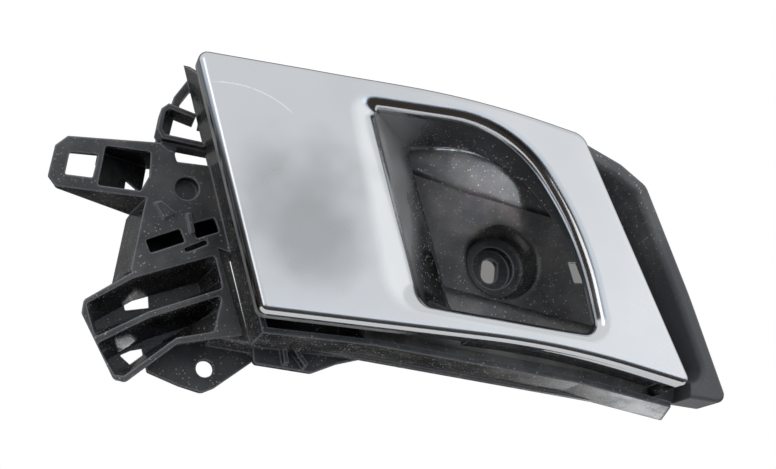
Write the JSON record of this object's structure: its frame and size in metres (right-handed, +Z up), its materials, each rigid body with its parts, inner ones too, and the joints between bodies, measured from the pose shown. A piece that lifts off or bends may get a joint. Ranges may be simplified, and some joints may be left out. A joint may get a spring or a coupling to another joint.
{
  "type": "car interior door handle",
  "caption": "Interior door release handle with a hinged satin chrome loop lever, a finger bowl, a raised bezel lip and a black moulded carrier with cable bays.",
  "frame": {"origin": "middle of the seat of the main fixing screw, at the bottom of the stepped recess in the carrier floor", "axes": "installed in the door: +Z up, -Y out of the door panel towards the seat, +X along the handle away from the hinge"},
  "size_m": [0.2333, 0.056, 0.1125],
  "materials": {
    "black_nylon": "moulded, fine grain, dusty",
    "soft_grey": "soft touch paint, fine grain",
    "satin_chrome": "satin plated",
    "steel": "ground",
    "spring_steel": "drawn wire",
    "zinc_steel": "zinc plated",
    "acetal": "natural",
    "rubber": "matt"
  },
  "bodies": {
    "carrier_body": {"carrier": "black_nylon", "bezel": "soft_grey", "pivot_pin": "steel", "pin_clip": "steel", "return_spring": "spring_steel", "stop_left": "rubber", "stop_right": "rubber", "bezel_screw_1": "zinc_steel", "bezel_screw_2": "zinc_steel", "bezel_screw_3": "zinc_steel", "bezel_screw_4": "zinc_steel", "bezel_screw_5": "zinc_steel"},
    "lever": {"lever_shell": "satin_chrome", "lever_frame": "black_nylon", "bush_lower": "acetal", "bush_upper": "acetal", "lever_screw_1": "zinc_steel", "lever_screw_2": "zinc_steel", "lever_screw_3": "zinc_steel", "lever_screw_4": "zinc_steel"}
  },
  "joints": [
    {"name": "lever_hinge", "type": "hinge", "parent": "carrier_body", "child": "lever", "pos_m": [-0.0943, -0.03, 0.0041], "axis": [0.3804, 0, -0.9248], "range_deg": [0, 26], "stiffness_Nm_per_rad": 0.4, "springref_deg": -20.05}
  ]
}
